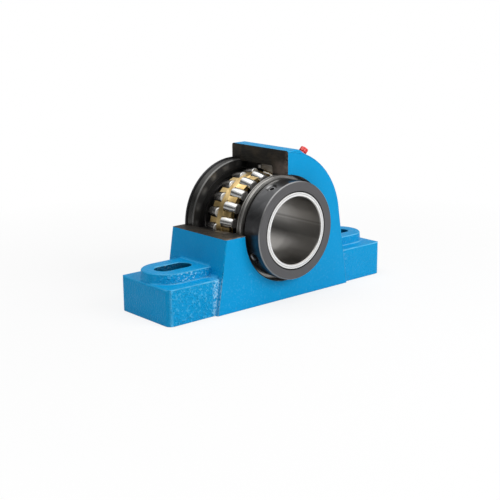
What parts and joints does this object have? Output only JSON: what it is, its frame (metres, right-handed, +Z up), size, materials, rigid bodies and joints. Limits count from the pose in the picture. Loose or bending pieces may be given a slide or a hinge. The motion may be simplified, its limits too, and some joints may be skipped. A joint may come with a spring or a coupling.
{
  "type": "pillow block bearing",
  "caption": "Pillow block with a self-aligning spherical roller bearing and a locking collar; part of the cast housing is cut away to show the rollers and cage.",
  "frame": {"origin": "on the base face, under the centre of the bearing", "axes": "+X along the base, +Y along the shaft from the collar end to the rear cover, +Z up"},
  "size_m": [0.384, 0.134, 0.1995],
  "materials": {
    "housing_paint": "satin paint over cast iron",
    "ring_steel": "ground",
    "inner_ring_steel": "ground bright",
    "roller_steel": "polished",
    "cage_brass": "machined",
    "collar_black": "black oxide",
    "screw_black": "black oxide",
    "cover_black": "satin black",
    "seal_steel": "pressed",
    "seal_rubber": "matte",
    "spring_steel": "phosphated",
    "zinc_plate": "zinc plated",
    "cap_plastic": "soft plastic"
  },
  "bodies": {
    "housing": {"housing": "housing_paint", "outer_ring": "ring_steel", "front_seal_case": "seal_steel", "front_seal_lip": "seal_rubber", "rear_cover": "cover_black", "rear_seal_case": "seal_steel", "rear_seal_lip": "seal_rubber", "retaining_ring": "spring_steel", "grease_fitting": "zinc_plate"},
    "self_aligning": {"guide_ring": "ring_steel"},
    "shaft_hub": {"inner_ring": "inner_ring_steel", "lock_collar": "collar_black"},
    "cage": {"cage": "cage_brass"},
    "upper_set_screw": {"upper_set_screw": "screw_black"},
    "lower_set_screw": {"lower_set_screw": "screw_black"},
    "check_ball": {"check_ball": "zinc_plate"},
    "grease_cap": {"grease_cap": "cap_plastic"},
    "roller_front_01": {"roller_front_01": "roller_steel"},
    "roller_front_02": {"roller_front_02": "roller_steel"},
    "roller_front_03": {"roller_front_03": "roller_steel"},
    "roller_front_04": {"roller_front_04": "roller_steel"},
    "roller_front_05": {"roller_front_05": "roller_steel"},
    "roller_front_06": {"roller_front_06": "roller_steel"},
    "roller_front_07": {"roller_front_07": "roller_steel"},
    "roller_front_08": {"roller_front_08": "roller_steel"},
    "roller_front_09": {"roller_front_09": "roller_steel"},
    "roller_front_10": {"roller_front_10": "roller_steel"},
    "roller_front_11": {"roller_front_11": "roller_steel"},
    "roller_front_12": {"roller_front_12": "roller_steel"},
    "roller_front_13": {"roller_front_13": "roller_steel"},
    "roller_front_14": {"roller_front_14": "roller_steel"},
    "roller_front_15": {"roller_front_15": "roller_steel"},
    "roller_front_16": {"roller_front_16": "roller_steel"},
    "roller_front_17": {"roller_front_17": "roller_steel"},
    "roller_front_18": {"roller_front_18": "roller_steel"},
    "roller_front_19": {"roller_front_19": "roller_steel"},
    "roller_front_20": {"roller_front_20": "roller_steel"},
    "roller_rear_01": {"roller_rear_01": "roller_steel"},
    "roller_rear_02": {"roller_rear_02": "roller_steel"},
    "roller_rear_03": {"roller_rear_03": "roller_steel"},
    "roller_rear_04": {"roller_rear_04": "roller_steel"},
    "roller_rear_05": {"roller_rear_05": "roller_steel"},
    "roller_rear_06": {"roller_rear_06": "roller_steel"},
    "roller_rear_07": {"roller_rear_07": "roller_steel"},
    "roller_rear_08": {"roller_rear_08": "roller_steel"},
    "roller_rear_09": {"roller_rear_09": "roller_steel"},
    "roller_rear_10": {"roller_rear_10": "roller_steel"},
    "roller_rear_11": {"roller_rear_11": "roller_steel"},
    "roller_rear_12": {"roller_rear_12": "roller_steel"},
    "roller_rear_13": {"roller_rear_13": "roller_steel"},
    "roller_rear_14": {"roller_rear_14": "roller_steel"},
    "roller_rear_15": {"roller_rear_15": "roller_steel"},
    "roller_rear_16": {"roller_rear_16": "roller_steel"},
    "roller_rear_17": {"roller_rear_17": "roller_steel"},
    "roller_rear_18": {"roller_rear_18": "roller_steel"},
    "roller_rear_19": {"roller_rear_19": "roller_steel"},
    "roller_rear_20": {"roller_rear_20": "roller_steel"}
  },
  "joints": [
    {"name": "shaft_tilt", "type": "hinge", "parent": "housing", "child": "self_aligning", "pos_m": [0, 0, 0.097], "axis": [1, 0, 0], "range_deg": [-1, 1]},
    {"name": "shaft_spin", "type": "hinge", "parent": "self_aligning", "child": "shaft_hub", "pos_m": [0, 0, 0.097], "axis": [0, 1, 0], "continuous": true},
    {"name": "cage_spin", "type": "hinge", "parent": "self_aligning", "child": "cage", "pos_m": [0, 0, 0.097], "axis": [0, 1, 0], "continuous": true},
    {"name": "roller_front_01_spin", "type": "hinge", "parent": "cage", "child": "roller_front_01", "pos_m": [-0.06365, -0.01431, 0.10765], "axis": [-0.2135, 0.9763, 0.0357], "continuous": true},
    {"name": "roller_front_02_spin", "type": "hinge", "parent": "cage", "child": "roller_front_02", "pos_m": [-0.05724, -0.01431, 0.1268], "axis": [-0.192, 0.9763, 0.0999], "continuous": true},
    {"name": "roller_front_03_spin", "type": "hinge", "parent": "cage", "child": "roller_front_03", "pos_m": [-0.04523, -0.01431, 0.14303], "axis": [-0.1517, 0.9763, 0.1544], "continuous": true},
    {"name": "roller_front_04_spin", "type": "hinge", "parent": "cage", "child": "roller_front_04", "pos_m": [-0.0288, -0.01431, 0.15475], "axis": [-0.0966, 0.9763, 0.1937], "continuous": true},
    {"name": "roller_front_05_spin", "type": "hinge", "parent": "cage", "child": "roller_front_05", "pos_m": [-0.00954, -0.01431, 0.16082], "axis": [-0.032, 0.9763, 0.2141], "continuous": true},
    {"name": "roller_front_06_spin", "type": "hinge", "parent": "cage", "child": "roller_front_06", "pos_m": [0.01065, -0.01431, 0.16065], "axis": [0.0357, 0.9763, 0.2135], "continuous": true},
    {"name": "roller_front_07_spin", "type": "hinge", "parent": "cage", "child": "roller_front_07", "pos_m": [0.0298, -0.01431, 0.15424], "axis": [0.0999, 0.9763, 0.192], "continuous": true},
    {"name": "roller_front_08_spin", "type": "hinge", "parent": "cage", "child": "roller_front_08", "pos_m": [0.04603, -0.01431, 0.14223], "axis": [0.1544, 0.9763, 0.1517], "continuous": true},
    {"name": "roller_front_09_spin", "type": "hinge", "parent": "cage", "child": "roller_front_09", "pos_m": [0.05775, -0.01431, 0.12579], "axis": [0.1937, 0.9763, 0.0966], "continuous": true},
    {"name": "roller_front_10_spin", "type": "hinge", "parent": "cage", "child": "roller_front_10", "pos_m": [0.06382, -0.01431, 0.10654], "axis": [0.2141, 0.9763, 0.032], "continuous": true},
    {"name": "roller_front_11_spin", "type": "hinge", "parent": "cage", "child": "roller_front_11", "pos_m": [0.06365, -0.01431, 0.08635], "axis": [0.2135, 0.9763, -0.0357], "continuous": true},
    {"name": "roller_front_12_spin", "type": "hinge", "parent": "cage", "child": "roller_front_12", "pos_m": [0.05724, -0.01431, 0.0672], "axis": [0.192, 0.9763, -0.0999], "continuous": true},
    {"name": "roller_front_13_spin", "type": "hinge", "parent": "cage", "child": "roller_front_13", "pos_m": [0.04523, -0.01431, 0.05097], "axis": [0.1517, 0.9763, -0.1544], "continuous": true},
    {"name": "roller_front_14_spin", "type": "hinge", "parent": "cage", "child": "roller_front_14", "pos_m": [0.0288, -0.01431, 0.03925], "axis": [0.0966, 0.9763, -0.1937], "continuous": true},
    {"name": "roller_front_15_spin", "type": "hinge", "parent": "cage", "child": "roller_front_15", "pos_m": [0.00954, -0.01431, 0.03318], "axis": [0.032, 0.9763, -0.2141], "continuous": true},
    {"name": "roller_front_16_spin", "type": "hinge", "parent": "cage", "child": "roller_front_16", "pos_m": [-0.01065, -0.01431, 0.03335], "axis": [-0.0357, 0.9763, -0.2135], "continuous": true},
    {"name": "roller_front_17_spin", "type": "hinge", "parent": "cage", "child": "roller_front_17", "pos_m": [-0.0298, -0.01431, 0.03976], "axis": [-0.0999, 0.9763, -0.192], "continuous": true},
    {"name": "roller_front_18_spin", "type": "hinge", "parent": "cage", "child": "roller_front_18", "pos_m": [-0.04603, -0.01431, 0.05177], "axis": [-0.1544, 0.9763, -0.1517], "continuous": true},
    {"name": "roller_front_19_spin", "type": "hinge", "parent": "cage", "child": "roller_front_19", "pos_m": [-0.05775, -0.01431, 0.06821], "axis": [-0.1937, 0.9763, -0.0966], "continuous": true},
    {"name": "roller_front_20_spin", "type": "hinge", "parent": "cage", "child": "roller_front_20", "pos_m": [-0.06382, -0.01431, 0.08746], "axis": [-0.2141, 0.9763, -0.032], "continuous": true},
    {"name": "roller_rear_01_spin", "type": "hinge", "parent": "cage", "child": "roller_rear_01", "pos_m": [-0.0612, 0.01431, 0.11748], "axis": [0.2053, 0.9763, -0.0687], "continuous": true},
    {"name": "roller_rear_02_spin", "type": "hinge", "parent": "cage", "child": "roller_rear_02", "pos_m": [-0.05187, 0.01431, 0.13539], "axis": [0.174, 0.9763, -0.1287], "continuous": true},
    {"name": "roller_rear_03_spin", "type": "hinge", "parent": "cage", "child": "roller_rear_03", "pos_m": [-0.03748, 0.01431, 0.14954], "axis": [0.1257, 0.9763, -0.1762], "continuous": true},
    {"name": "roller_rear_04_spin", "type": "hinge", "parent": "cage", "child": "roller_rear_04", "pos_m": [-0.0194, 0.01431, 0.15855], "axis": [0.0651, 0.9763, -0.2064], "continuous": true},
    {"name": "roller_rear_05_spin", "type": "hinge", "parent": "cage", "child": "roller_rear_05", "pos_m": [0.00056, 0.01431, 0.16153], "axis": [-0.0019, 0.9763, -0.2164], "continuous": true},
    {"name": "roller_rear_06_spin", "type": "hinge", "parent": "cage", "child": "roller_rear_06", "pos_m": [0.02048, 0.01431, 0.1582], "axis": [-0.0687, 0.9763, -0.2053], "continuous": true},
    {"name": "roller_rear_07_spin", "type": "hinge", "parent": "cage", "child": "roller_rear_07", "pos_m": [0.03839, 0.01431, 0.14888], "axis": [-0.1287, 0.9763, -0.174], "continuous": true},
    {"name": "roller_rear_08_spin", "type": "hinge", "parent": "cage", "child": "roller_rear_08", "pos_m": [0.05254, 0.01431, 0.13448], "axis": [-0.1762, 0.9763, -0.1257], "continuous": true},
    {"name": "roller_rear_09_spin", "type": "hinge", "parent": "cage", "child": "roller_rear_09", "pos_m": [0.06155, 0.01431, 0.1164], "axis": [-0.2064, 0.9763, -0.0651], "continuous": true},
    {"name": "roller_rear_10_spin", "type": "hinge", "parent": "cage", "child": "roller_rear_10", "pos_m": [0.06453, 0.01431, 0.09644], "axis": [-0.2164, 0.9763, 0.0019], "continuous": true},
    {"name": "roller_rear_11_spin", "type": "hinge", "parent": "cage", "child": "roller_rear_11", "pos_m": [0.0612, 0.01431, 0.07652], "axis": [-0.2053, 0.9763, 0.0687], "continuous": true},
    {"name": "roller_rear_12_spin", "type": "hinge", "parent": "cage", "child": "roller_rear_12", "pos_m": [0.05187, 0.01431, 0.05861], "axis": [-0.174, 0.9763, 0.1287], "continuous": true},
    {"name": "roller_rear_13_spin", "type": "hinge", "parent": "cage", "child": "roller_rear_13", "pos_m": [0.03748, 0.01431, 0.04446], "axis": [-0.1257, 0.9763, 0.1762], "continuous": true},
    {"name": "roller_rear_14_spin", "type": "hinge", "parent": "cage", "child": "roller_rear_14", "pos_m": [0.0194, 0.01431, 0.03545], "axis": [-0.0651, 0.9763, 0.2064], "continuous": true},
    {"name": "roller_rear_15_spin", "type": "hinge", "parent": "cage", "child": "roller_rear_15", "pos_m": [-0.00056, 0.01431, 0.03247], "axis": [0.0019, 0.9763, 0.2164], "continuous": true},
    {"name": "roller_rear_16_spin", "type": "hinge", "parent": "cage", "child": "roller_rear_16", "pos_m": [-0.02048, 0.01431, 0.0358], "axis": [0.0687, 0.9763, 0.2053], "continuous": true},
    {"name": "roller_rear_17_spin", "type": "hinge", "parent": "cage", "child": "roller_rear_17", "pos_m": [-0.03839, 0.01431, 0.04512], "axis": [0.1287, 0.9763, 0.174], "continuous": true},
    {"name": "roller_rear_18_spin", "type": "hinge", "parent": "cage", "child": "roller_rear_18", "pos_m": [-0.05254, 0.01431, 0.05953], "axis": [0.1762, 0.9763, 0.1257], "continuous": true},
    {"name": "roller_rear_19_spin", "type": "hinge", "parent": "cage", "child": "roller_rear_19", "pos_m": [-0.06155, 0.01431, 0.07759], "axis": [0.2064, 0.9763, 0.0651], "continuous": true},
    {"name": "roller_rear_20_spin", "type": "hinge", "parent": "cage", "child": "roller_rear_20", "pos_m": [-0.06453, 0.01431, 0.09756], "axis": [0.2164, 0.9763, -0.0019], "continuous": true},
    {"name": "upper_set_screw_slide", "type": "slide", "parent": "shaft_hub", "child": "upper_set_screw", "axis": [-0.4384, 0, 0.8988], "range_m": [0, 0.004]},
    {"name": "lower_set_screw_slide", "type": "slide", "parent": "shaft_hub", "child": "lower_set_screw", "axis": [-0.891, 0, -0.454], "range_m": [0, 0.004]},
    {"name": "grease_cap_slide", "type": "slide", "parent": "housing", "child": "grease_cap", "axis": [0.6947, 0, 0.7193], "range_m": [0, 0.016]},
    {"name": "check_ball_slide", "type": "slide", "parent": "housing", "child": "check_ball", "axis": [0.6947, 0, 0.7193], "range_m": [-0.001, 0], "stiffness_N_per_m": 30, "springref_m": 0.001}
  ],
  "couplings": [
    {"joint": "cage_spin", "follows": "shaft_spin", "ratio": 0.44478},
    {"joint": "roller_front_01_spin", "follows": "shaft_spin", "ratio": -4.3662},
    {"joint": "roller_front_02_spin", "follows": "shaft_spin", "ratio": -4.3662},
    {"joint": "roller_front_03_spin", "follows": "shaft_spin", "ratio": -4.3662},
    {"joint": "roller_front_04_spin", "follows": "shaft_spin", "ratio": -4.3662},
    {"joint": "roller_front_05_spin", "follows": "shaft_spin", "ratio": -4.3662},
    {"joint": "roller_front_06_spin", "follows": "shaft_spin", "ratio": -4.3662},
    {"joint": "roller_front_07_spin", "follows": "shaft_spin", "ratio": -4.3662},
    {"joint": "roller_front_08_spin", "follows": "shaft_spin", "ratio": -4.3662},
    {"joint": "roller_front_09_spin", "follows": "shaft_spin", "ratio": -4.3662},
    {"joint": "roller_front_10_spin", "follows": "shaft_spin", "ratio": -4.3662},
    {"joint": "roller_front_11_spin", "follows": "shaft_spin", "ratio": -4.3662},
    {"joint": "roller_front_12_spin", "follows": "shaft_spin", "ratio": -4.3662},
    {"joint": "roller_front_13_spin", "follows": "shaft_spin", "ratio": -4.3662},
    {"joint": "roller_front_14_spin", "follows": "shaft_spin", "ratio": -4.3662},
    {"joint": "roller_front_15_spin", "follows": "shaft_spin", "ratio": -4.3662},
    {"joint": "roller_front_16_spin", "follows": "shaft_spin", "ratio": -4.3662},
    {"joint": "roller_front_17_spin", "follows": "shaft_spin", "ratio": -4.3662},
    {"joint": "roller_front_18_spin", "follows": "shaft_spin", "ratio": -4.3662},
    {"joint": "roller_front_19_spin", "follows": "shaft_spin", "ratio": -4.3662},
    {"joint": "roller_front_20_spin", "follows": "shaft_spin", "ratio": -4.3662},
    {"joint": "roller_rear_01_spin", "follows": "shaft_spin", "ratio": -4.3662},
    {"joint": "roller_rear_02_spin", "follows": "shaft_spin", "ratio": -4.3662},
    {"joint": "roller_rear_03_spin", "follows": "shaft_spin", "ratio": -4.3662},
    {"joint": "roller_rear_04_spin", "follows": "shaft_spin", "ratio": -4.3662},
    {"joint": "roller_rear_05_spin", "follows": "shaft_spin", "ratio": -4.3662},
    {"joint": "roller_rear_06_spin", "follows": "shaft_spin", "ratio": -4.3662},
    {"joint": "roller_rear_07_spin", "follows": "shaft_spin", "ratio": -4.3662},
    {"joint": "roller_rear_08_spin", "follows": "shaft_spin", "ratio": -4.3662},
    {"joint": "roller_rear_09_spin", "follows": "shaft_spin", "ratio": -4.3662},
    {"joint": "roller_rear_10_spin", "follows": "shaft_spin", "ratio": -4.3662},
    {"joint": "roller_rear_11_spin", "follows": "shaft_spin", "ratio": -4.3662},
    {"joint": "roller_rear_12_spin", "follows": "shaft_spin", "ratio": -4.3662},
    {"joint": "roller_rear_13_spin", "follows": "shaft_spin", "ratio": -4.3662},
    {"joint": "roller_rear_14_spin", "follows": "shaft_spin", "ratio": -4.3662},
    {"joint": "roller_rear_15_spin", "follows": "shaft_spin", "ratio": -4.3662},
    {"joint": "roller_rear_16_spin", "follows": "shaft_spin", "ratio": -4.3662},
    {"joint": "roller_rear_17_spin", "follows": "shaft_spin", "ratio": -4.3662},
    {"joint": "roller_rear_18_spin", "follows": "shaft_spin", "ratio": -4.3662},
    {"joint": "roller_rear_19_spin", "follows": "shaft_spin", "ratio": -4.3662},
    {"joint": "roller_rear_20_spin", "follows": "shaft_spin", "ratio": -4.3662}
  ]
}
